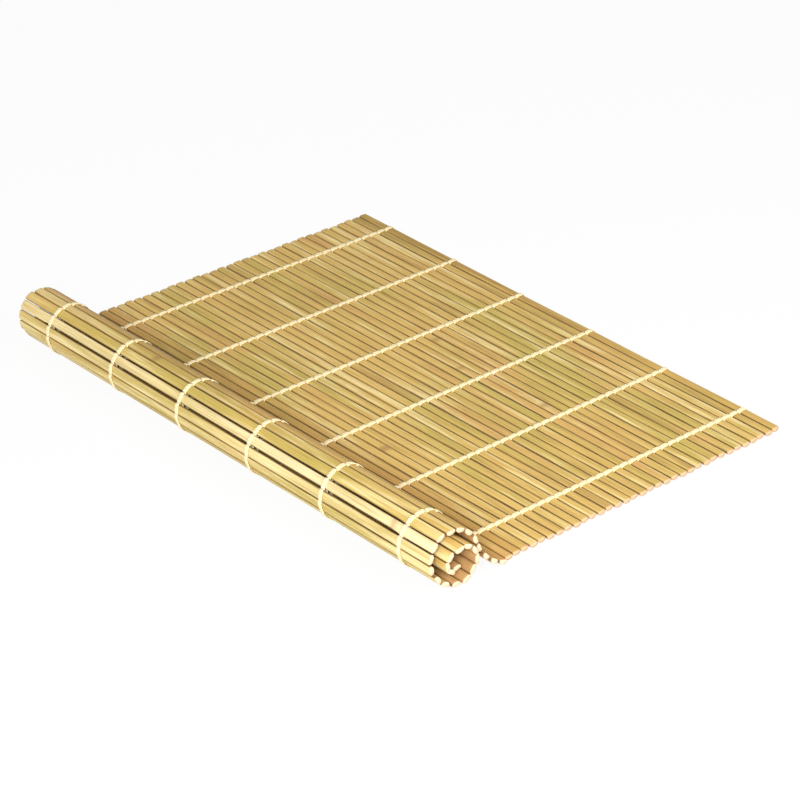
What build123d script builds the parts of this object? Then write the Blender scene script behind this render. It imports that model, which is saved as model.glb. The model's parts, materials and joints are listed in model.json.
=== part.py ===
"""Sushi rolling mat: split bamboo slats twined together by six pairs of cotton strands.

The mat lies flat on 34 slats, then climbs into a roll of 25 slats. The flat skin side of each slat is
the top of the flat part and the outside of the roll. Slats run along Y, the mat runs along X, and +Z is up.
The flat slats fan out slightly, so that the roll lies a little askew to the free edge of the mat.
The origin is below the middle of the mat's outline, on the surface that it rests on.
"""

import math
import os

from build123d import *

# Slats: a flat skin side up, bevelled edges, and a rounded inner side
slat_length = 240.0
slat_width = 3.3
slat_gap = 0.7
slat_thickness = 1.8
skin_bevel_width = 0.42
skin_bevel_drop = 0.28
side_drop = 0.12
inner_bevel_width = 0.45
inner_bevel_drop = 0.5
inner_flat_width = 1.2
end_wander = 0.5
roll_slip = 2.6

# Cords: each of the six is two strands side by side, which swap over and under from slat to slat
cord_spacing = 41.0
strand_width = 1.0
strand_gap = 0.05
strand_thickness = 0.45
strand_clearance = 0.05
stitch_side_width = 0.14
stitch_overhang = 0.02
hinge_clearance = 0.12

# Counts
first_panel_slats = 6
panel_slats = 7
panel_count = 5
rolled_slats = 25
rise_slats = 4
cord_count = 6

# Roll: the radii are of the slats' middle line. It is wider than roll_radius if more slats need the room.
roll_radius = 9.6
core_radius = 5.1
widest_share = 4.0
tuck_share = 1.02
tuck_start_degrees = 135.0
most_wound_degrees = 625.0
steepest_rise_degrees = 40.0
search_steps = 40

# Fan: the yaw of the first slat and of the last flat one. Above zero, the +Y end stands nearer to the roll.
first_yaw_degrees = -0.65
last_yaw_degrees = 0.95

# Slat ends wander by two sines: their shares of end_wander, and the share of a turn from slat to slat.
# The roll's slats also slip by a cosine, whose crest is this many slats into the roll.
wander_shares = (0.6, 0.4)
wander_turn_shares = (0.377, 0.139)
slip_turn_share = 0.05
slip_crest_slats = 9

pitch = slat_width + slat_gap
half_width = slat_width / 2
half_thickness = slat_thickness / 2
flat_slats = first_panel_slats + panel_slats * (panel_count - 1)
slat_count = flat_slats + rolled_slats
strand_inner = half_thickness + strand_clearance
strand_outer = strand_inner + strand_thickness
lane_offset = (strand_width + strand_gap) / 2
inner_reach = half_width + stitch_overhang
outer_reach = inner_reach + stitch_side_width
leg_lean = (pitch - inner_reach - outer_reach) / (strand_inner + strand_outer)
slat_section = [
    (half_width - skin_bevel_width, half_thickness),
    (half_width, half_thickness - skin_bevel_drop),
    (half_width, -side_drop),
    (half_width - inner_bevel_width, -side_drop - inner_bevel_drop),
    (inner_flat_width / 2, -half_thickness),
]
slat_section += [(-x, z) for x, z in reversed(slat_section)]


def turn_at(radius):
    """Angle in degrees between neighbouring slats that lie round a circle of this radius."""
    return 2 * math.degrees(math.asin(pitch / 2 / radius))


def wound_turns(radius):
    """Turns between the slats that are wound, from the outside of a roll of this radius to its core."""
    turns = []
    while len(turns) < rolled_slats - rise_slats - 1:
        tucked = max(0.0, sum(turns) - tuck_start_degrees) / 360 * tuck_share * (radius - core_radius)
        turns.append(turn_at(max(core_radius, radius - tucked)))
    return turns


def roomy_radius():
    """The least radius at which the wound slats keep clear of each other in the core."""
    low, high = core_radius, widest_share * roll_radius
    for _ in range(search_steps):
        trial = (low + high) / 2
        if sum(wound_turns(trial)) > most_wound_degrees:
            low = trial
        else:
            high = trial
    return max(roll_radius, high)


def bends(rise_degrees):
    """Turn from each slat to the next, from the last flat slat on. A turn up into the roll is negative."""
    return [-rise_degrees] * rise_slats + [0.0] + wound_turns(roomy_radius())


def chain(rise_degrees):
    """Hinge points between slats as (x, z), and the tilt of each slat in degrees."""
    turns = [0.0] * flat_slats + bends(rise_degrees)
    points = [(0.0, strand_outer)]
    tilts = []
    tilt = 0.0
    for turn in turns:
        tilt += turn
        tilts.append(tilt)
        x, z = points[-1]
        along = math.radians(tilt)
        points.append((x - pitch * math.cos(along), z - pitch * math.sin(along)))
    return points, tilts


def placed(point, centre, tilt):
    """A point of a slat's own section, moved to where that slat lies."""
    along = math.radians(tilt)
    x = centre[0] + point[0] * math.cos(along) - point[1] * math.sin(along)
    z = centre[1] + point[0] * math.sin(along) + point[1] * math.cos(along)
    return x, z


def middle(first, second):
    return (first[0] + second[0]) / 2, (first[1] + second[1]) / 2


def lowest(rise_degrees):
    """Height of the lowest stitch, where the mat climbs at this rise."""
    points, tilts = chain(rise_degrees)
    heights = []
    for index, tilt in enumerate(tilts):
        centre = middle(points[index], points[index + 1])
        for side in (outer_reach, -outer_reach):
            heights.append(placed((side, strand_outer), centre, tilt)[1])
            heights.append(placed((side, -strand_outer), centre, tilt)[1])
    return min(heights)


def settled_rise():
    """The rise that brings the roll down to rest on the surface that carries the flat part."""
    low, high = 0.0, steepest_rise_degrees
    for _ in range(search_steps):
        trial = (low + high) / 2
        if lowest(trial) < 0:
            low = trial
        else:
            high = trial
    return high


def slide(number):
    """How far a slat's ends stand off the others along Y. Rolled slats have slipped further, to either side."""
    wander = 0.0
    for share, turn_share in zip(wander_shares, wander_turn_shares):
        wander += share * end_wander * math.sin(2 * math.pi * turn_share * number)
    if number <= flat_slats:
        return wander
    past_crest = number - flat_slats - slip_crest_slats
    return wander + roll_slip * math.cos(2 * math.pi * slip_turn_share * past_crest)


def yaw(number):
    """Yaw of a slat in degrees. All rolled slats have that of the last flat one."""
    share = (min(number, flat_slats) - 1) / (flat_slats - 1)
    return first_yaw_degrees + share * (last_yaw_degrees - first_yaw_degrees)


def yaw_slope(number):
    """How far a slat leans towards the roll per length along Y."""
    return math.tan(math.radians(yaw(number)))


def over(number, lane):
    """True where the strand in this lane passes over this slat. The other lane's strand passes under it."""
    return (number + lane) % 2 == 0


def prism(points, centre_y, width):
    """A solid of this section in X and Z, with this width along Y."""
    face = Plane.XZ * Polygon(*points, align=None)
    return Pos(0, centre_y, 0) * extrude(face, amount=width / 2, both=True)


def strand_edge(sides, inner_side, step):
    """One long edge of a strand's section. It lies against the slats that are passed on inner_side."""
    edge = []
    for index, side in enumerate(sides):
        against = side == inner_side
        reach = inner_reach if against else outer_reach
        level = side * (strand_inner if against else strand_outer)
        edge.append((-index * step + reach, level))
        edge.append((-index * step - reach, level))
    return edge


def leg_tip(lower, upper, way, level):
    """Where the leg between two corners of a stitch, leaning into the gap along X by way, comes to its tip."""
    ends = [x + way * leg_lean * abs(z - level) for x, z in (lower, upper)]
    return sum(ends) / len(ends), level


def strand_section(sides, step):
    """Section of one strand over a run of slats, with both ends in the gaps beside it, near mid height.

    sides holds +1 where the strand passes over a slat and -1 where it passes under. The first slat is at
    X zero and the others follow towards -X, one step apart.
    """
    upper = strand_edge(sides, -1, step)
    lower = strand_edge(sides, 1, step)
    start = leg_tip(lower[0], upper[0], 1, sides[0] * hinge_clearance)
    finish = leg_tip(lower[-1], upper[-1], -1, sides[-1] * hinge_clearance)
    return [start] + upper + [finish] + lower[::-1]


def bar_section():
    """Section of a strand under one slat of the roll, drawn tight between its two gaps."""
    return [
        (inner_reach, -strand_inner),
        (inner_reach - strand_thickness, -strand_outer),
        (strand_thickness - inner_reach, -strand_outer),
        (-inner_reach, -strand_inner),
    ]


def fold_section(side):
    """Section of the short turn of cord round the outer edge of the first or the last slat."""
    near = side * (half_width + strand_clearance)
    far = side * (half_width + strand_clearance + strand_thickness)
    return [(near, hinge_clearance), (far, hinge_clearance), (far, -hinge_clearance), (near, -hinge_clearance)]


def slat(number):
    """One slat with its section at the origin, slid along Y to its own place."""
    return prism(slat_section, slide(number), slat_length)


def strands(first, count):
    """Both strands of all six cords over a run of slats, with the middle of the first slat at X zero."""
    lean = yaw_slope(first) if count > 1 else 0.0
    spread = yaw_slope(first + 1) - yaw_slope(first) if count > 1 else 0.0
    pieces = []
    for place in cord_places:
        for lane in (0, 1):
            lane_y = place + (2 * lane - 1) * lane_offset
            sides = [1 if over(first + step, lane) else -1 for step in range(count)]
            single_bar = count == 1 and sides[0] < 0 and first != slat_count
            section = bar_section() if single_bar else strand_section(sides, pitch + lane_y * spread)
            pieces.append(Pos(-lane_y * lean, 0, 0) * prism(section, lane_y, strand_width))
        if first == 1:
            pieces.append(Pos(-place * lean, 0, 0) * prism(fold_section(1), place, fold_width))
        if first + count - 1 == slat_count:
            pieces.append(prism(fold_section(-1), place, fold_width))
    return pieces


def centre_of(number):
    """Middle of a slat's section on the settled mat, as (x, z), before the roll is turned askew."""
    return middle(hinges[number - 1], hinges[number])


def askew(number):
    """The turn about Z that a rolled slat has with the whole roll, about the gap where the mat starts to climb."""
    start = hinges[flat_slats][0]
    return Pos(start, 0, 0) * Rot(0, 0, yaw(number)) * Pos(-start, 0, 0)


def where(number):
    """Place of a slat on the settled mat."""
    x, z = centre_of(number)
    if number <= flat_slats:
        return Pos(x, 0, z) * Rot(0, 0, yaw(number))
    return askew(number) * Pos(x, 0, z) * Rot(0, -tilts[number - 1], 0)


rise_degrees = settled_rise()
hinges, tilts = chain(rise_degrees)
fold_width = 2 * strand_width + strand_gap
cord_places = [(place - (cord_count - 1) / 2) * cord_spacing for place in range(cord_count)]

pieces = {}
panel_first = 1
for panel in range(panel_count):
    count = first_panel_slats if panel == 0 else panel_slats
    name = f"{panel_first}_to_{panel_first + count - 1}"
    run = range(panel_first, panel_first + count)
    x, z = centre_of(panel_first)
    pieces[f"slats_{name}"] = [where(number) * slat(number) for number in run]
    pieces[f"cords_{name}"] = [Pos(x, 0, z) * piece for piece in strands(panel_first, count)]
    panel_first += count
for number in range(flat_slats + 1, slat_count + 1):
    pieces[f"slat_{number}"] = [where(number) * slat(number)]
    pieces[f"cords_{number}"] = [where(number) * piece for piece in strands(number, 1)]

boxes = [piece.bounding_box() for group in pieces.values() for piece in group]
x_middle = (min(box.min.X for box in boxes) + max(box.max.X for box in boxes)) / 2
y_middle = (min(box.min.Y for box in boxes) + max(box.max.Y for box in boxes)) / 2
os.makedirs("parts", exist_ok=True)
for name, group in pieces.items():
    moved = [Pos(-x_middle, -y_middle, 0) * piece for piece in group]
    export_step(moved[0] if len(moved) == 1 else Compound(children=moved), f"parts/{name}.step")
print("rise", round(rise_degrees, 2), "bends", [round(turn, 1) for turn in bends(rise_degrees)])
print("x middle", round(x_middle, 3), "y middle", round(y_middle, 3))
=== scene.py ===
"""Sushi rolling mat: the looks of its split bamboo slats and of the cotton twine that holds them.

Every slat and every run of twine is a surface worked out on a grid, and rides on the body of its
CAD node. Lengths are in millimetres until a mesh is made. Slats are numbered from the flat end to
the roll's core, and a slat's near end is the one with the lowest Y.
"""

import json
import math

import bpy
import numpy as np
from bpy.props import FloatProperty, FloatVectorProperty, IntProperty, PointerProperty
from mathutils import Matrix, Vector


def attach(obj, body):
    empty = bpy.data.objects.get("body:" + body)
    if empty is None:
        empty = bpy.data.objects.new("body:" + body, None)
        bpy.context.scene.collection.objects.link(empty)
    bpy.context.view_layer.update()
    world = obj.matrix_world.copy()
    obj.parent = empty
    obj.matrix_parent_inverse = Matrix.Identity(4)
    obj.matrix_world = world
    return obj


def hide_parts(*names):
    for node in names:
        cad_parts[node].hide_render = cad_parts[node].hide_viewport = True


bl_info = {
    "name": "Sushi Rolling Mat",
    "version": (1, 0, 0),
    "blender": (4, 5, 0),
    "location": "View3D > Sidebar > Rolling Mat",
    "description": "Split bamboo slats twined with cotton, with one end curled into a roll",
    "category": "Object",
}

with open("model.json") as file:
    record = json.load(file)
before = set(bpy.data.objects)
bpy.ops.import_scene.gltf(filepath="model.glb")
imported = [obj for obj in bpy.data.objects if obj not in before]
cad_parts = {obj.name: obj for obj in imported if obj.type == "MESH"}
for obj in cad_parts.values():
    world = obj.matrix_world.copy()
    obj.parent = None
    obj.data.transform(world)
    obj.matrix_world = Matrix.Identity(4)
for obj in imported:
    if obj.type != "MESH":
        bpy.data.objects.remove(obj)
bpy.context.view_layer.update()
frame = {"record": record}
MM = 0.001

# The mat, as in the part's source
PITCH = 4.0
SLAT_LENGTH = 240.0
SLAT_SECTION = ((1.23, 0.9), (1.65, 0.62), (1.65, -0.12), (1.2, -0.62), (0.6, -0.9))
SECTION_WIDTH = 3.3
SLAT_COUNT = 59
FLAT_SLATS = 34
LAST_CLIMBING = 38
PANELS = ((1, 6), (7, 13), (14, 20), (21, 27), (28, 34))
CORE_RADIUS = 5.1
FIRST_YAW, LAST_YAW = math.radians(-0.65), math.radians(0.95)
CORD_COUNT = 6
CORD_SPACING = 41.0
STRAND_HEIGHT = 1.175

# How far the slats' ends stand off along Y, and the turns that those sines make per slat
END_WANDER = 0.5
WANDER_SHARES = (0.6, 0.4)
WANDER_TURNS = (0.377, 0.139)
ROLL_SLIP = 2.6
SLIP_TURN = 0.05
SLIP_CREST = 9

# Rings along a slat, and how far in from an end it shrinks, by what share
SEED = 4100
SECTION_PASSES = 2
BODY_RINGS, BODY_INSET = 49, 6.0
END_INSETS = (0.0, 0.12, 0.5, 2.0)
END_REACH, END_SHRINK = 0.5, 0.06

# Waves along a slat, as rows of turns and share, and what their sum is divided by
WIDTH_WAVES, WIDTH_OVER = ((1.3, 1.0), (4.1, 0.6)), 2
HEIGHT_WAVES = ((2.2, 1.0),)
BOW_WAVES, BOW_OVER = ((0.9, 1.0), (3.3, 0.5)), 1.5

# A knuckle's reach along the slat, and the shares by which it is wider and thicker
KNUCKLE_REACH, KNUCKLE_WIDER, KNUCKLE_THICKER = 2.2, 0.03, 0.08

# Slats beside the open gap of the roll: width, and how far aside they lie between the outer cords
OPEN_SLATS = {43: (3.62, 0.1), 44: (3.27, 0.17), 45: (3.52, -0.06)}
OPEN_REACH, OPEN_EDGE = 104.0, 3.0

# Slats inside the roll, and the width of those that would let the floor show between them
FIRST_CORE_SLAT = 50
TIGHT_SLATS = {50: 4.08, 51: 4.08}

# A strand's free end in the next run's tube: its length, and its share of the strand's section
PLUG_LENGTH, PLUG_SHARE = 0.15, 0.5

# Places on the section: where the skin starts, and the band of edge in the gaps that gets painted
# shade, and the share by which that painted shade fades towards the far end
SKIN_FROM, SKIN_OVER = 0.1, 0.6
GAP_SHADE_FROM, GAP_SHADE_TOP, GAP_SHADE_OVER = 1.2, 0.8, 0.3
GAP_SHADE_FADE = 0.4

# Shifts of the grain, in X and Y, that give each slat a grain of its own
GRAIN_SHIFT = (9.0, 37.0)

# Share of each tint by slat number, with even steps between, and the way from the near end over
# which brown comes on the roll and amber goes everywhere. Brown is painted shade on the slats
# beside and over the roll, where its shadow falls and where its top faces away from the key lamp;
# it also darkens slats 1 and 2 at the far edge. Amber is painted shade, warm as from bounced
# light, at the near ends of the slats beside the roll
SHADE_BROWN_SLATS = {1: 0.45, 2: 0.1, 3: 0.0, 31: 0.0, 33: 0.8, 34: 1.0, 40: 1.0, 41: 0.7, 43: 0.0}
SHADE_BROWN_START, SHADE_BROWN_REACH = 20.0, 90.0
AMBER_SHADE_SLATS = {32: 0.0, 34: 0.8, 36: 1.0, 38: 0.0}
AMBER_SHADE_REACH, AMBER_SHADE_MOST = 14.0, 0.8
PEELED_SLATS = {44: 0.75, 45: 0.25}

# Tone is paler above 0 and deeper below it, and tint is greener above 0 and warmer below it
TRAIT_LIMIT = 2
SLAT_TONES = {1: -2.0, 44: 1.8, 46: 1.4, 47: 1.4, 48: 1.2}
FIRST_PALER_SLAT = 42
PALER_BY, GREENER_BY = 0.6, 1.2
PALER_END, PALER_REACH = 1.8, 35.0

# Scales of the bamboo's patterns, per metre of the object or per mm of a slat's own grain
PATCH_SCALE = (26.0, 11.0, 26.0)
BLUSH_SCALE = (34.0, 9.0, 34.0)
RUN_SCALE = (0.3, 0.02, 0.3)
FIBRE_SCALE = (5.0, 0.05, 5.0)
DEPTH_SCALE = (0.25, 0.035, 0.25)
PORE_SCALE = (6.0, 6.0, 6.0)

# What one step of a slat's tone or tint adds to a pattern
PALE_STEP, GREEN_STEP, WARM_STEP = 0.05, 0.04, -0.05

# Ramps over the patterns, whose middle is 0.5: low, high, and the shares of a colour there
GREEN_RAMP = (0.46, 0.64)
WARM_RAMP = (0.52, 0.72)
PALE_RAMP = (0.5, 0.76, 0.0, 0.9)
DEEP_RAMP = (0.46, 0.24, 0.0, 0.6)
PEELED_RAMP = (0.66, 0.4, 0.4, 1.0)
FIBRE_RAMP = (0.42, 0.72, 0.0, 0.7)
# The next ramp sets the painted shade on the slats' edges in the gaps
GAP_SHADE_RAMP = (0.36, 0.6, 0.5, 1.0)
PORE_RAMP = (0.4, 0.65)
KNUCKLE_RAMP = (0.3, 1.0, 0.0, 0.7)
ROUGH_RAMP = (0.3, 0.7, 0.42, 0.6)
FLESH_ROUGHER = 0.15
FIBRE_DEPTH = 0.6

# The twine: scale of its soil per mm of strand, plies in a strand, ramps, and its roughness
SOIL_SCALE = (0.11, 0.0, 1.0)
PLIES = 3
# The next ramp sets the painted shade in the grooves between the plies
GROOVE_SHADE_RAMP = (-1.0, 0.2)
SOIL_RAMP = (0.5, 0.75, 0.0, 0.5)
COTTON_ROUGHNESS = 0.85

# Strength of a bump, and its height in metres
BAMBOO_BUMP = (0.35, 0.0002)
COTTON_BUMP = (0.6, 0.0001)

# The stage: sizes in metres, apart from the camera's sensor in mm, and the floor's share of glow
FLOOR_REACH, FLOOR_GLOW = 6.0, 0.93
NEAR_LAMP = {"place": (0.12, -0.55, 0.3), "target": (0, -0.05, 0), "size": 0.25}
KEY_LAMP = {"place": (-0.62, -0.6, 0.46), "target": (0, 0, 0), "size": 0.3}
SENSOR_WIDTH, CLIP_START = 36.0, 0.01


# ---------------------------------------------------------------- places


def hinge(number):
    """Place of the hinge between a slat and the one before it, and the hinge's direction."""
    for joint in frame["record"]["behaviour"]["joints"]:
        if joint["name"] == f"bend_{number}":
            return np.array(joint["pos_m"]) / MM, np.array(joint["axis"])
    raise ValueError(f"no hinge carries slat {number}")


def slat_places():
    """Rows of four vectors for each slat: its middle, and the directions of its own X, Y and Z.

    The flat slats lie a pitch apart and fan out evenly. Each of the others lies between its two
    hinges, and the last one turns on from the one before by a pitch on the core's circle.
    """
    start = hinge(FLAT_SLATS + 1)[0]
    rows = []
    for number in range(1, FLAT_SLATS + 1):
        yaw = FIRST_YAW + (number - 1) / (FLAT_SLATS - 1) * (LAST_YAW - FIRST_YAW)
        middle = start + ((FLAT_SLATS - number + 0.5) * PITCH, 0, 0)
        along, across = (math.cos(yaw), math.sin(yaw), 0), (-math.sin(yaw), math.cos(yaw), 0)
        rows.append((middle, along, across, (0, 0, 1)))
    for number in range(FLAT_SLATS + 1, SLAT_COUNT):
        (near, across), far = hinge(number), hinge(number + 1)[0]
        along = (near - far) / PITCH
        rows.append(((near + far) / 2, along, across, np.cross(along, across)))
    along, across, up = rows[-1][1:]
    turn = 2 * math.asin(PITCH / 2 / CORE_RADIUS)
    cos, sin = math.cos(turn), math.sin(turn)
    along, up = along * cos + up * sin, up * cos - along * sin
    rows.append((hinge(SLAT_COUNT)[0] - along * PITCH / 2, along, across, up))
    return np.array(rows)


def slide(number):
    """How far a slat's ends stand off: two sines of its number, and a further slip on the roll."""
    wander = sum(
        share * END_WANDER * math.sin(2 * math.pi * turn * number)
        for share, turn in zip(WANDER_SHARES, WANDER_TURNS)
    )
    if number <= FLAT_SLATS:
        return wander
    turned = SLIP_TURN * (number - FLAT_SLATS - SLIP_CREST)
    return wander + ROLL_SLIP * math.cos(2 * math.pi * turned)


places = slat_places()
cord_places = [(place - (CORD_COUNT - 1) / 2) * CORD_SPACING for place in range(CORD_COUNT)]


def turned_to(directions, number):
    """Directions in slat number's own X, Y and Z, turned as that slat is."""
    return directions @ places[number - 1][1:]


def on_mat(points, number):
    """Points in slat number's own X, Y and Z, moved to its place on the mat."""
    return places[number - 1][0] + turned_to(points, number)


def runs():
    """Each run of slats on one stiff body: its first and last slat, its body and its CAD nodes."""
    rows = []
    for first, last in PANELS:
        span = f"{first}_to_{last}"
        rows.append((first, last, f"flat_{span}", f"slats_{span}", f"cords_{span}"))
    for number in range(FLAT_SLATS + 1, SLAT_COUNT + 1):
        rows.append((number, number, f"rolled_{number}", f"slat_{number}", f"cords_{number}"))
    return rows


# ---------------------------------------------------------------- meshes


def tube_faces(rings, around):
    """Faces of a closed tube, as lists of point numbers.

    Quads join the rings of points, and triangles fan out from a middle point at each end. The two
    middle points come after the rings, the first ring's before the last one's.
    """
    ring, step = np.meshgrid(np.arange(rings - 1), np.arange(around), indexing="ij")
    here, there = ring * around, (ring + 1) * around
    after = (step + 1) % around
    quads = np.stack((here + step, here + after, there + after, there + step), axis=-1)
    step, after = step[0], after[0]
    final = (rings - 1) * around
    start = np.stack((after, step, np.full(around, rings * around)), axis=-1)
    end = np.stack((final + step, final + after, np.full(around, rings * around + 1)), axis=-1)
    return quads.reshape(-1, 4).tolist() + start.tolist() + end.tolist()


def make_piece(name, points, faces, attributes, material):
    """A smooth mesh object from points in millimetres, lists of faces and values per point."""
    mesh = bpy.data.meshes.new(name)
    mesh.from_pydata(points * MM, [], faces)
    for key, values in attributes.items():
        if values.ndim == 2:
            layer = mesh.attributes.new(key, "FLOAT_VECTOR", "POINT")
            layer.data.foreach_set("vector", values.astype(np.float32).ravel())
        else:
            layer = mesh.attributes.new(key, "FLOAT", "POINT")
            layer.data.foreach_set("value", values.astype(np.float32))
    mesh.polygons.foreach_set("use_smooth", np.ones(len(mesh.polygons), dtype=bool))
    mesh.materials.append(material)
    mesh.update()
    piece = bpy.data.objects.new(name, mesh)
    bpy.context.scene.collection.objects.link(piece)
    return piece


def rounded_section():
    """The slat's section with its corners cut at a quarter of each side, once for each pass."""
    half = np.array(SLAT_SECTION)
    section = np.vstack((half, half[::-1] * (-1, 1)))
    for _ in range(SECTION_PASSES):
        after = np.roll(section, -1, axis=0)
        cuts = (0.75 * section + 0.25 * after, 0.25 * section + 0.75 * after)
        section = np.stack(cuts, axis=1).reshape(-1, 2)
    return section


def waves(rows, swing, phases):
    """Sum of sines along a slat, each from a row of turns and share."""
    return sum(share * np.sin(turns * swing + phase) for (turns, share), phase in zip(rows, phases))


def usual_width(number, look):
    """Width of a slat where nothing sets it apart from those like it."""
    if number >= FIRST_CORE_SLAT:
        return TIGHT_SLATS.get(number, look.core_width)
    return look.flat_width if number <= LAST_CLIMBING else look.rolled_width


def far_share(along):
    """Way from a slat's near end, as a share of its length."""
    return (along + SLAT_LENGTH / 2) / SLAT_LENGTH


def slat_rings(number, section, draw, look):
    """Rings of a slat's section along Y, with their Y and how much of each is knuckle and sawn end.

    Its width, thickness and middle line follow slow sines along Y with this slat's own phases. A
    knuckle of the cane swells like a bell curve, and the last rings shrink to an uneven sawn end.
    """
    half = SLAT_LENGTH / 2
    inset = np.array(END_INSETS)
    body = np.linspace(-half + BODY_INSET, half - BODY_INSET, BODY_RINGS)
    along = np.concatenate((-half + inset, body, half - inset[::-1]))
    swing = 2 * math.pi * along / SLAT_LENGTH

    # The waves use five of the six phases
    phase = draw.uniform(0, 2 * math.pi, 6)
    usual = usual_width(number, look)
    width = 1 + look.width_wander * waves(WIDTH_WAVES, swing, phase[0:2]) / WIDTH_OVER
    height = 1 + look.width_wander * waves(HEIGHT_WAVES, swing, phase[2:3])
    bow = look.bow * (PITCH - usual) * waves(BOW_WAVES, swing, phase[3:5]) / BOW_OVER

    # A slat without a knuckle has it far off its end
    has_knuckle = draw.random() < look.knuckle_share
    knuckle_y = draw.uniform(-half, half) if has_knuckle else 4 * half
    knuckle = np.exp(-(((along - knuckle_y) / KNUCKLE_REACH) ** 2))
    sawn = 1 - np.clip((half - np.abs(along)) / END_REACH, 0, 1)
    shrink = 1 - END_SHRINK * sawn**2
    width = width * shrink * (1 + KNUCKLE_WIDER * knuckle)
    height = height * shrink * (1 + KNUCKLE_THICKER * knuckle)

    # Slats beside the open gap are narrower between the outer cords, and flat ones taper
    narrow, aside = OPEN_SLATS.get(number, (usual, 0.0))
    inside = np.clip((OPEN_REACH - np.abs(along)) / OPEN_EDGE, 0, 1)
    widest = usual + (narrow - usual) * inside
    if number <= LAST_CLIMBING:
        widest = widest + look.taper * (2 * far_share(along) - 1)

    rings = np.empty((len(along), len(section), 3))
    rings[..., 0] = section[:, 0] * (widest / SECTION_WIDTH * width)[:, None]
    rings[..., 0] += (bow + aside * inside)[:, None]
    rings[..., 1] = along[:, None] + slide(number)
    rings[..., 2] = section[:, 1] * height[:, None]
    rings[[0, -1], :, 1] += look.ragged * draw.uniform(-1, 1, (2, len(section)))
    return rings, along, knuckle, sawn


def slat_surface(number, look):
    """A slat's points on the mat, its faces, and the values that its paint reads at each point.

    The points are those of its rings, and then the middles of its two ends, which stand a little
    proud.
    """
    draw = np.random.default_rng(SEED + number)
    section = rounded_section()
    rings, along, knuckle, sawn = slat_rings(number, section, draw, look)
    middles = np.array((rings[0].mean(axis=0), rings[-1].mean(axis=0)))
    middles[:, 1] += np.array((-1, 1)) * look.ragged
    local = np.vstack((rings.reshape(-1, 3), middles))
    values = slat_values(number, local, draw.normal(0, 1, 2))
    values |= ring_values(section, along, knuckle, sawn)
    return on_mat(local, number), tube_faces(len(along), len(section)), values


def ring_values(section, along, knuckle, sawn):
    """What a point's place on the section and along the slat says about its paint."""
    skin = np.clip((section[:, 1] - SKIN_FROM) / SKIN_OVER, 0, 1)
    # The band of edge in the gaps gets painted shade, weaker towards the far end
    gap_shade_band = np.clip((np.abs(section[:, 0]) - GAP_SHADE_FROM) / GAP_SHADE_OVER, 0, 1)
    gap_shade_band = gap_shade_band * np.clip((GAP_SHADE_TOP - section[:, 1]) / GAP_SHADE_OVER, 0, 1)
    gap_shade_strength = 1 - GAP_SHADE_FADE * far_share(along)
    return {
        "skin": np.append(np.tile(skin, len(along)), (0, 0)),
        "side": np.append(np.outer(gap_shade_strength, gap_shade_band), (0, 0)),
        "knuckle": np.append(np.repeat(knuckle, len(section)), (0, 0)),
        "sawn": np.append(np.repeat(sawn**3, len(section)), (1, 1)),
    }


def share_at(number, shares):
    """Share for a slat, by straight lines between the slats that shares names."""
    return np.interp(number, list(shares), list(shares.values()))


def slat_values(number, local, traits):
    """What a slat's number, its two drawn traits and the way from its near end say about paint."""
    way = SLAT_LENGTH / 2 + local[:, 1] - slide(number)
    tone, tint = traits
    if number >= FIRST_PALER_SLAT:
        tone, tint = tone + PALER_BY, tint + GREENER_BY
    tone = np.clip(SLAT_TONES.get(number, tone), -TRAIT_LIMIT, TRAIT_LIMIT)
    tint = np.clip(tint, -TRAIT_LIMIT, TRAIT_LIMIT)
    if number >= FIRST_PALER_SLAT:
        tone = tone + PALER_END * np.exp(-way / PALER_REACH)
    # Brown is painted shade beside and over the roll; on the roll it comes on away from the near
    # end
    brown = share_at(number, SHADE_BROWN_SLATS)
    if number > LAST_CLIMBING:
        brown = brown * np.clip((way - SHADE_BROWN_START) / SHADE_BROWN_REACH, 0, 1)
    # Amber is painted shade at the near ends of the slats beside the roll
    amber = share_at(number, AMBER_SHADE_SLATS) * np.exp(-way / AMBER_SHADE_REACH)
    shift = np.array((*GRAIN_SHIFT, 0.0)) * number
    even = {
        "tone": tone,
        "tint": tint,
        "brown": brown,
        "amber": np.clip(amber, 0, 1),
        "fresh": 1.0 if number > FLAT_SLATS else 0.0,
        "peeled": PEELED_SLATS.get(number, 0.0),
    }
    spread = {key: np.broadcast_to(value, len(local)) for key, value in even.items()}
    return {"grain": local + shift, **spread}


def strand_line(number, strand, look):
    """Middle line of one strand past one slat, from hinge to hinge, and the way its back faces.

    In X and Z it is half of a rounded box, |x|^4 + |z|^4 = 1 in units of half a pitch and of the
    strand's height. It is the upper half where the strand passes over and the lower where it passes
    under. Along Y it goes from one side of the cord to the other, so that the two strands turn
    round each other. At the mat's two ends they meet.
    """
    turn = np.linspace(0, math.pi, look.steps)
    over = 1 if (number + strand) % 2 == 0 else -1
    x = PITCH / 2 * np.sign(np.cos(turn)) * np.sqrt(np.abs(np.cos(turn)))
    z = over * STRAND_HEIGHT * np.sqrt(np.abs(np.sin(turn)))
    aside = over * look.sway * np.cos(turn)
    if number == 1:
        aside = aside * np.clip(2 * turn / math.pi, 0, 1)
    if number == SLAT_COUNT:
        aside = aside * np.clip(2 - 2 * turn / math.pi, 0, 1)
    wide = look.half_width * (1 + look.swell * np.sin(turn) ** 2)
    thick = look.half_height * (1 - look.pinch * np.cos(turn) ** 2)
    back = np.stack((x / (PITCH / 2), np.zeros_like(x), z / STRAND_HEIGHT), axis=-1) ** 3
    back /= np.linalg.norm(back, axis=-1, keepdims=True)
    return np.stack((x, aside, z), axis=-1), back, wide, thick


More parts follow.
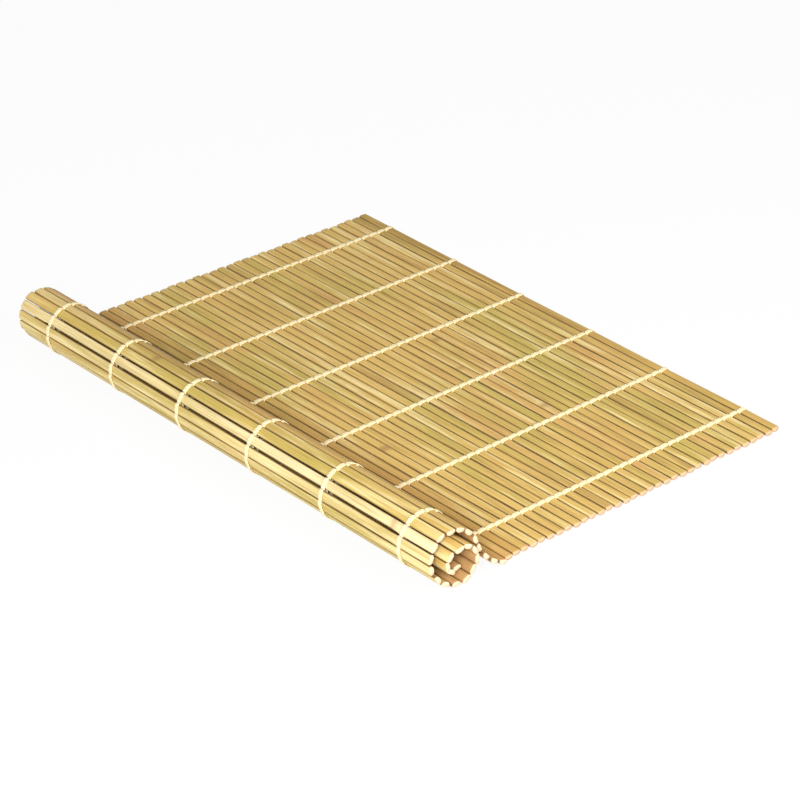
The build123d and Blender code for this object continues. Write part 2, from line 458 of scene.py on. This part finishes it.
def strand_surface(first, last, place, strand, look):
    """A closed tube with an oval section along one strand's line past slats first to last.

    Where the strand goes on in the next run, the tube ends in a short narrow plug inside that run's
    tube. The values per point are the way along the strand, the turn round it and its own number.
    """
    lines, backs, widths, heights = [], [], [], []
    for number in range(first, last + 1):
        line, back, wide, thick = strand_line(number, strand, look)
        skip = 0 if number == first else 1
        lines.append(on_mat(line + (0, place, 0), number)[skip:])
        backs.append(turned_to(back, number)[skip:])
        widths.append(wide[skip:])
        heights.append(thick[skip:])
    line, back = np.vstack(lines), np.vstack(backs)
    wide, thick = np.concatenate(widths), np.concatenate(heights)
    for end, inner, goes_on in ((0, 1, first > 1), (-1, -2, last < SLAT_COUNT)):
        if goes_on:
            spot = len(line) if end else 0
            outward = (line[end] - line[inner]) / np.linalg.norm(line[end] - line[inner])
            line = np.insert(line, spot, line[end] + outward * PLUG_LENGTH, axis=0)
            back = np.insert(back, spot, back[end], axis=0)
            wide = np.insert(wide, spot, wide[end] * PLUG_SHARE)
            thick = np.insert(thick, spot, thick[end] * PLUG_SHARE)
    length = np.append(0, np.cumsum(np.linalg.norm(np.diff(line, axis=0), axis=1)))
    angle = 2 * math.pi * np.arange(look.around) / look.around
    side = places[last - 1][2]
    across = np.cos(angle)[None, :, None] * wide[:, None, None] * side
    upward = np.sin(angle)[None, :, None] * thick[:, None, None] * back[:, None, :]
    rings = line[:, None, :] + across + upward
    points = np.vstack((rings.reshape(-1, 3), line[0], line[-1]))
    ply = np.column_stack(
        (
            np.append(np.repeat(length, look.around), (0, length[-1])),
            np.append(np.tile(angle / (2 * math.pi), len(line)), (0, 0)),
            np.full(len(points), place + strand),
        )
    )
    return points, tube_faces(len(line), look.around), ply


# ---------------------------------------------------------------- materials


class Wire:
    """An output socket of a material's nodes. An expression on wires adds the Math nodes for it."""

    def __init__(self, paint, socket):
        self.paint, self.socket = paint, socket

    def math(self, operation, *values):
        return self.paint.add("ShaderNodeMath", {"operation": operation}, dict(enumerate(values)))

    def __add__(self, other):
        return self.math("ADD", self, other)

    def __mul__(self, other):
        return self.math("MULTIPLY", self, other)

    def __sub__(self, other):
        return self.math("SUBTRACT", self, other)

    def __rsub__(self, other):
        return self.math("SUBTRACT", other, self)

    __radd__ = __add__
    __rmul__ = __mul__


class Paint:
    """A material that is built node by node."""

    def __init__(self, name):
        self.material = bpy.data.materials.new(name)
        self.material.use_nodes = True
        self.tree = self.material.node_tree
        self.shader = self.tree.nodes["Principled BSDF"]

    def fill(self, node, inputs):
        """Sets or links each of a node's input sockets that inputs names."""
        for key, value in inputs.items():
            if isinstance(value, Wire):
                self.tree.links.new(value.socket, node.inputs[key])
            else:
                node.inputs[key].default_value = value

    def node(self, kind, settings, inputs):
        """Adds a node of this kind, with its settings and its sockets' values or links."""
        node = self.tree.nodes.new(kind)
        for key, value in settings.items():
            setattr(node, key, value)
        self.fill(node, inputs)
        return node

    def add(self, kind, settings, inputs, output=0):
        """Adds a node as node does, and gives one of its outputs."""
        return Wire(self, self.node(kind, settings, inputs).outputs[output])

    def attribute(self, name, output="Fac"):
        return self.add("ShaderNodeAttribute", {"attribute_name": name}, {}, output)

    def noise(self, vector, stretch, detail, roughness=0.5, scale=1.0):
        """Noise, from 0 to 1 about 0.5, of a vector that is first multiplied by stretch."""
        place = self.add("ShaderNodeVectorMath", {"operation": "MULTIPLY"}, {0: vector, 1: stretch})
        sockets = {"Vector": place, "Scale": scale, "Detail": detail, "Roughness": roughness}
        return self.add("ShaderNodeTexNoise", {}, sockets, "Fac")

    def ramp(self, value, low, high, bottom=0.0, top=1.0):
        """Goes smoothly from bottom to top as value goes from low to high."""
        sockets = {"Value": value, "From Min": low, "From Max": high}
        sockets |= {"To Min": bottom, "To Max": top}
        return self.add("ShaderNodeMapRange", {"interpolation_type": "SMOOTHSTEP"}, sockets)

    def mix(self, factor, first, second, blend="MIX"):
        """Mixes a colour wire, or a plain colour, with another by factor."""
        sockets = {0: factor, 6: opaque(first), 7: opaque(second)}
        return self.add("ShaderNodeMix", {"data_type": "RGBA", "blend_type": blend}, sockets, 2)

    def bump(self, height, strength, distance):
        sockets = {"Strength": strength, "Distance": distance, "Height": height}
        return self.add("ShaderNodeBump", {}, sockets, "Normal")


def opaque(colour):
    """A plain colour with an alpha of 1. A wire stays as it is."""
    return colour if isinstance(colour, Wire) else (*colour, 1.0)


def paint_bamboo(look):
    """Split bamboo: patches of straw, green and orange, fibres, dark knuckles and sawn ends, with
    painted shade beside the roll and in the gaps.
    """
    paint = Paint("split_bamboo")
    place = paint.add("ShaderNodeTexCoord", {}, {}, "Object")
    grain = paint.attribute("grain", "Vector")
    skin, side, fresh = (paint.attribute(name) for name in ("skin", "side", "fresh"))
    tone, tint = (paint.attribute(name) for name in ("tone", "tint"))
    brown, amber, peeled = (paint.attribute(name) for name in ("brown", "amber", "peeled"))
    knuckle, sawn = (paint.attribute(name) for name in ("knuckle", "sawn"))
    patches = paint.noise(place, PATCH_SCALE, 3.0)
    blush = paint.noise(place, BLUSH_SCALE, 3.0, 0.6, scale=1.3)
    run = paint.noise(grain, RUN_SCALE, 3.0, 0.6) + tone * PALE_STEP
    fibre = paint.noise(grain, FIBRE_SCALE, 3.0, 0.65)
    depth = paint.noise(grain, DEPTH_SCALE, 2.0)
    pores = paint.noise(grain, PORE_SCALE, 2.0)

    # The skin: patches and blush, paler and deeper runs, lost skin and the fibres' grooves
    greener = paint.ramp(patches + tint * GREEN_STEP, *GREEN_RAMP)
    warmer = paint.ramp(blush + tint * WARM_STEP, *WARM_RAMP)
    colour = paint.mix(greener, look.straw, look.green)
    colour = paint.mix(warmer, colour, look.orange)
    colour = paint.mix(paint.ramp(run, *PALE_RAMP), colour, look.pale)
    colour = paint.mix(paint.ramp(run, *DEEP_RAMP), colour, look.deep)
    colour = paint.mix(peeled * paint.ramp(blush, *PEELED_RAMP), colour, look.peeled)
    colour = paint.mix(paint.ramp(fibre, *FIBRE_RAMP), colour, look.fibre, "MULTIPLY")

    # The inner side, the painted shade beside the roll and in the gaps, and the knuckles
    flesh = paint.mix(fresh, look.flesh, look.roll_flesh)
    colour = paint.mix(1 - skin, colour, flesh)
    # Painted shade beside and over the roll, in brown
    colour = paint.mix(brown, colour, look.brown, "MULTIPLY")
    # Painted shade at the near ends beside the roll, warm as from bounced light
    colour = paint.mix(amber * AMBER_SHADE_MOST, colour, look.amber)
    # Painted shade on the slats' edges in the gaps
    colour = paint.mix(side * paint.ramp(depth, *GAP_SHADE_RAMP), colour, look.side)
    colour = paint.mix(paint.ramp(knuckle, *KNUCKLE_RAMP), colour, look.knuckle)

    # The sawn ends
    cut = paint.mix(fresh, look.worn_cut, look.cut)
    cut = paint.mix(paint.ramp(pores, *PORE_RAMP), cut, look.pore)
    colour = paint.mix(sawn, colour, cut)

    bump = paint.bump(fibre * FIBRE_DEPTH + pores * sawn, *BAMBOO_BUMP)
    roughness = paint.ramp(fibre, *ROUGH_RAMP) + (1 - skin) * FLESH_ROUGHER
    paint.fill(paint.shader, {"Base Color": colour, "Roughness": roughness, "Normal": bump})
    return paint.material


def paint_cotton(look):
    """Cotton twine: cream, with painted shade in the slanting grooves of its plies, and a few
    soiled stretches.
    """
    paint = Paint("cotton_twine")
    ply = paint.attribute("ply", "Vector")
    parts = paint.node("ShaderNodeSeparateXYZ", {}, {0: ply}).outputs
    length, turn = Wire(paint, parts["X"]), Wire(paint, parts["Y"])
    lay = length * look.lay_turns + turn * (2 * math.pi * PLIES)
    groove = lay.math("SINE", lay)
    soil = paint.noise(ply, SOIL_SCALE, 3.0)
    # Painted shade in the grooves between the plies
    colour = paint.mix(paint.ramp(groove, *GROOVE_SHADE_RAMP), look.groove, look.cotton)
    colour = paint.mix(paint.ramp(soil, *SOIL_RAMP), colour, look.soil)
    bump = paint.bump(groove, *COTTON_BUMP)
    sockets = {"Base Color": colour, "Roughness": COTTON_ROUGHNESS, "Normal": bump}
    paint.fill(paint.shader, sockets)
    return paint.material


def paint_white(name, colour, glow):
    """Plain matt white that the camera and reflections see lifted towards pure white by glow."""
    paint = Paint(name)
    rays = paint.node("ShaderNodeLightPath", {}, {}).outputs
    seen = Wire(paint, rays["Is Camera Ray"]) + Wire(paint, rays["Is Glossy Ray"])
    seen = seen + Wire(paint, rays["Is Transmission Ray"])
    white = paint.add("ShaderNodeEmission", {}, {"Color": (1, 1, 1, 1), "Strength": 1.0})
    paint.fill(paint.shader, {"Base Color": opaque(colour), "Roughness": 1.0})
    matt = Wire(paint, paint.shader.outputs[0])
    surface = paint.add("ShaderNodeMixShader", {}, {0: seen * glow, 1: matt, 2: white})
    paint.fill(paint.tree.nodes["Material Output"], {"Surface": surface})
    return paint.material


# ---------------------------------------------------------------- settings


def number_property(name, text, value, unit="NONE"):
    return FloatProperty(name=name, description=text, default=value, precision=3, unit=unit)


def colour_property(name, text, value):
    return FloatVectorProperty(
        name=name, description=text, default=value, subtype="COLOR", min=0, max=1
    )


class SlatSettings(bpy.types.PropertyGroup):
    """Shape and colours of the bamboo slats."""

    flat_width: number_property(
        "Flat width", "Width of a slat that lies flat or climbs, in mm", 3.5
    )
    rolled_width: number_property("Rolled width", "Width of most slats of the roll, in mm", 3.76)
    core_width: number_property("Core width", "Width of the slats inside the roll, in mm", 3.9)
    taper: number_property(
        "Taper", "How much wider a flat slat is at its far end than in its middle, in mm", 0.1
    )
    width_wander: number_property(
        "Width wander", "Share by which a slat's width and thickness change along it", 0.02
    )
    bow: number_property(
        "Bow", "Share of the gap by which a slat's middle line leaves straight", 0.3
    )
    ragged: number_property("Ragged end", "How uneven a sawn end is, in mm", 0.08)
    knuckle_share: number_property(
        "Knuckles", "Share of slats that hold a knuckle of the cane", 0.3
    )
    straw: colour_property("Straw", "Main colour of the skin", (0.715, 0.485, 0.137))
    green: colour_property("Green", "Colour of the greener patches", (0.585, 0.445, 0.105))
    orange: colour_property("Orange", "Colour of the warmer patches", (0.68, 0.415, 0.127))
    pale: colour_property("Pale", "Colour of the palest runs", (0.93, 0.77, 0.36))
    deep: colour_property("Deep", "Colour of the darkest runs", (0.40, 0.24, 0.065))
    peeled: colour_property("Peeled", "Colour of a slat that has lost its skin", (0.97, 0.80, 0.48))
    fibre: colour_property("Fibre", "Tint of the fibres' grooves", (0.56, 0.44, 0.28))
    flesh: colour_property("Flesh", "Colour of the flat slats' inner side", (0.46, 0.27, 0.085))
    roll_flesh: colour_property(
        "Roll flesh", "Colour of the inner side on the climb and the roll", (0.52, 0.31, 0.12)
    )
    # Painted shade beside and over the roll
    brown: colour_property("Brown", "Tint of the slats beside the roll", (0.78, 0.67, 0.52))
    # Painted shade, warm as from bounced light, at those slats' near ends
    amber: colour_property("Amber", "Colour of those slats' near ends", (0.62, 0.32, 0.09))
    # Painted shade in the gaps between the slats
    side: colour_property("Side", "Colour of the edges in the gaps", (0.16, 0.09, 0.03))
    knuckle: colour_property("Knuckle", "Colour of a knuckle", (0.36, 0.19, 0.06))
    cut: colour_property(
        "Cut end", "Colour of a sawn end on the climb and the roll", (0.97, 0.75, 0.51)
    )
    worn_cut: colour_property(
        "Worn end", "Colour of a sawn end of the flat part", (0.66, 0.42, 0.24)
    )
    pore: colour_property("Pores", "Colour of the pores of a sawn end", (0.68, 0.42, 0.22))


class TwineSettings(bpy.types.PropertyGroup):
    """Shape and colours of the cotton twine."""

    half_width: number_property("Half width", "Half the width of a strand in the gaps, in mm", 0.88)
    swell: number_property("Swell", "Share by which a strand is wider over a slat", 0.25)
    half_height: number_property("Half height", "Half the thickness of a strand, in mm", 0.225)
    pinch: number_property("Pinch", "Share by which a strand is thinner in the gaps", 0.4)
    sway: number_property("Sway", "How far a strand swings to each side of its cord, in mm", 0.3)
    lay_turns: number_property("Lay", "Radians that the plies turn per mm of strand", 5.0)
    cotton: colour_property("Cotton", "Colour of the twine", (0.98, 0.84, 0.52))
    # Painted shade between the plies
    groove: colour_property("Groove", "Colour between the plies", (0.90, 0.74, 0.42))
    soil: colour_property("Soil", "Colour of the darker stretches", (0.80, 0.66, 0.38))
    steps: IntProperty(name="Steps", description="Rings of a strand past one slat", default=13)
    around: IntProperty(name="Around", description="Points round a strand", default=10)


class StageSettings(bpy.types.PropertyGroup):
    """Camera, floor and lamps."""

    camera_place: FloatVectorProperty(
        name="Camera",
        description="Place of the camera",
        default=(-0.564826, -0.705605, 0.494740),
        subtype="XYZ",
        unit="LENGTH",
    )
    forward: FloatVectorProperty(
        name="Forward",
        description="Where the camera looks",
        default=(0.5489177, 0.6810705, -0.4845951),
        subtype="DIRECTION",
    )
    upward: FloatVectorProperty(
        name="Upward",
        description="The camera's own upward",
        default=(0.3239713, 0.3610800, 0.8744506),
        subtype="DIRECTION",
    )
    lens: number_property("Lens", "Focal length, in mm on a sensor 36 mm wide", 124.26, "CAMERA")
    floor: colour_property("Floor", "Colour of the floor", (0.86, 0.86, 0.86))
    world: number_property("World", "Strength of the even light from all round", 0.5)
    key: number_property("Key lamp", "Power of the lamp on the roll's side", 7.5, "POWER")
    near: number_property("Near lamp", "Power of the lamp at the near end", 2.0, "POWER")


# ---------------------------------------------------------------- operators


def make_slats(context, name, rolled):
    """Makes the slats of the flat part, or with rolled those of the climb and the roll."""
    look = context.scene.mat_slats
    material = bpy.data.materials.get("split_bamboo") or paint_bamboo(look)
    for first, last, body, slat_node, _ in runs():
        if (first > FLAT_SLATS) != rolled:
            continue
        for number in range(first, last + 1):
            piece = make_piece(f"{name}_{number}", *slat_surface(number, look), material)
            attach(piece, body)
            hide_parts(slat_node)


class MAT_OT_flat_slats(bpy.types.Operator):
    """Make the slats that lie flat."""

    bl_idname = "rolling_mat.flat_slats"
    bl_label = "Flat slats"

    def execute(self, context):
        make_slats(context, "flat_slat", rolled=False)
        return {"FINISHED"}


class MAT_OT_rolled_slats(bpy.types.Operator):
    """Make the slats that climb to the roll and wind inside it."""

    bl_idname = "rolling_mat.rolled_slats"
    bl_label = "Rolled slats"

    def execute(self, context):
        make_slats(context, "rolled_slat", rolled=True)
        return {"FINISHED"}


class MAT_OT_twine(bpy.types.Operator):
    """Make both strands of every cord over each run of slats."""

    bl_idname = "rolling_mat.twine"
    bl_label = "Twine"

    def execute(self, context):
        look = context.scene.mat_twine
        material = paint_cotton(look)
        for first, last, body, _, cord_node in runs():
            points, faces, plies, count = [], [], [], 0
            for place in cord_places:
                for strand in (0, 1):
                    tube, its_faces, ply = strand_surface(first, last, place, strand, look)
                    points.append(tube)
                    plies.append(ply)
                    faces += [[corner + count for corner in face] for face in its_faces]
                    count += len(tube)
            name = f"twine_{first}" if first == last else f"twine_{first}_to_{last}"
            values = {"ply": np.vstack(plies)}
            piece = make_piece(name, np.vstack(points), faces, values, material)
            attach(piece, body)
            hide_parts(cord_node)
        return {"FINISHED"}


def add_lamp(name, power, place, target, size):
    """A square area lamp at place that faces target."""
    lamp = bpy.data.lights.new(name, "AREA")
    lamp.size = size
    lamp.energy = power
    holder = bpy.data.objects.new(name, lamp)
    holder.location = place
    holder.rotation_euler = (Vector(target) - Vector(place)).to_track_quat("-Z", "Y").to_euler()
    bpy.context.scene.collection.objects.link(holder)


class MAT_OT_stage(bpy.types.Operator):
    """Make the floor, the lamps and the camera."""

    bl_idname = "rolling_mat.stage"
    bl_label = "Stage"

    def execute(self, context):
        scene = context.scene
        look = scene.mat_stage
        sides = ((-1, -1), (1, -1), (1, 1), (-1, 1))
        corners = [(x * FLOOR_REACH, y * FLOOR_REACH, 0) for x, y in sides]
        floor_mesh = bpy.data.meshes.new("floor")
        floor_mesh.from_pydata(corners, [], [(0, 1, 2, 3)])
        floor_mesh.materials.append(paint_white("pale_floor", look.floor, FLOOR_GLOW))
        floor = bpy.data.objects.new("floor", floor_mesh)
        scene.collection.objects.link(floor)

        world = bpy.data.worlds.new("studio")
        world.use_nodes = True
        scene.world = world
        background = world.node_tree.nodes["Background"]
        background.inputs["Color"].default_value = (1, 1, 1, 1)
        background.inputs["Strength"].default_value = look.world
        add_lamp("near", look.near, **NEAR_LAMP)
        add_lamp("key", look.key, **KEY_LAMP)

        camera_data = bpy.data.cameras.new("camera")
        camera_data.lens = look.lens
        camera_data.sensor_width = SENSOR_WIDTH
        camera_data.clip_start = CLIP_START
        camera = bpy.data.objects.new("camera", camera_data)
        forward = Vector(look.forward).normalized()
        right = forward.cross(Vector(look.upward)).normalized()
        upward = right.cross(forward)
        turned = Matrix((right, upward, -forward)).transposed().to_4x4()
        camera.matrix_world = Matrix.Translation(Vector(look.camera_place)) @ turned
        scene.collection.objects.link(camera)
        scene.camera = camera
        scene.view_settings.view_transform = "Standard"
        return {"FINISHED"}


class MAT_PT_panel(bpy.types.Panel):
    """Lists the mat's pieces."""

    bl_idname = "MAT_PT_panel"
    bl_label = "Rolling Mat"
    bl_space_type = "VIEW_3D"
    bl_region_type = "UI"
    bl_category = "Rolling Mat"

    def draw(self, context):
        for operator in operators:
            self.layout.operator(operator.bl_idname)


operators = (MAT_OT_flat_slats, MAT_OT_rolled_slats, MAT_OT_twine, MAT_OT_stage)
settings = {"mat_slats": SlatSettings, "mat_twine": TwineSettings, "mat_stage": StageSettings}


def register():
    for kind in (*settings.values(), *operators, MAT_PT_panel):
        bpy.utils.register_class(kind)
    for name, kind in settings.items():
        setattr(bpy.types.Scene, name, PointerProperty(type=kind))


def unregister():
    for name in settings:
        delattr(bpy.types.Scene, name)
    for kind in (MAT_PT_panel, *reversed(operators), *reversed(settings.values())):
        bpy.utils.unregister_class(kind)


def main():
    register()
    for operator in operators:
        group, action = operator.bl_idname.split(".")
        getattr(getattr(bpy.ops, group), action)()


if __name__ == "__main__":
    main()
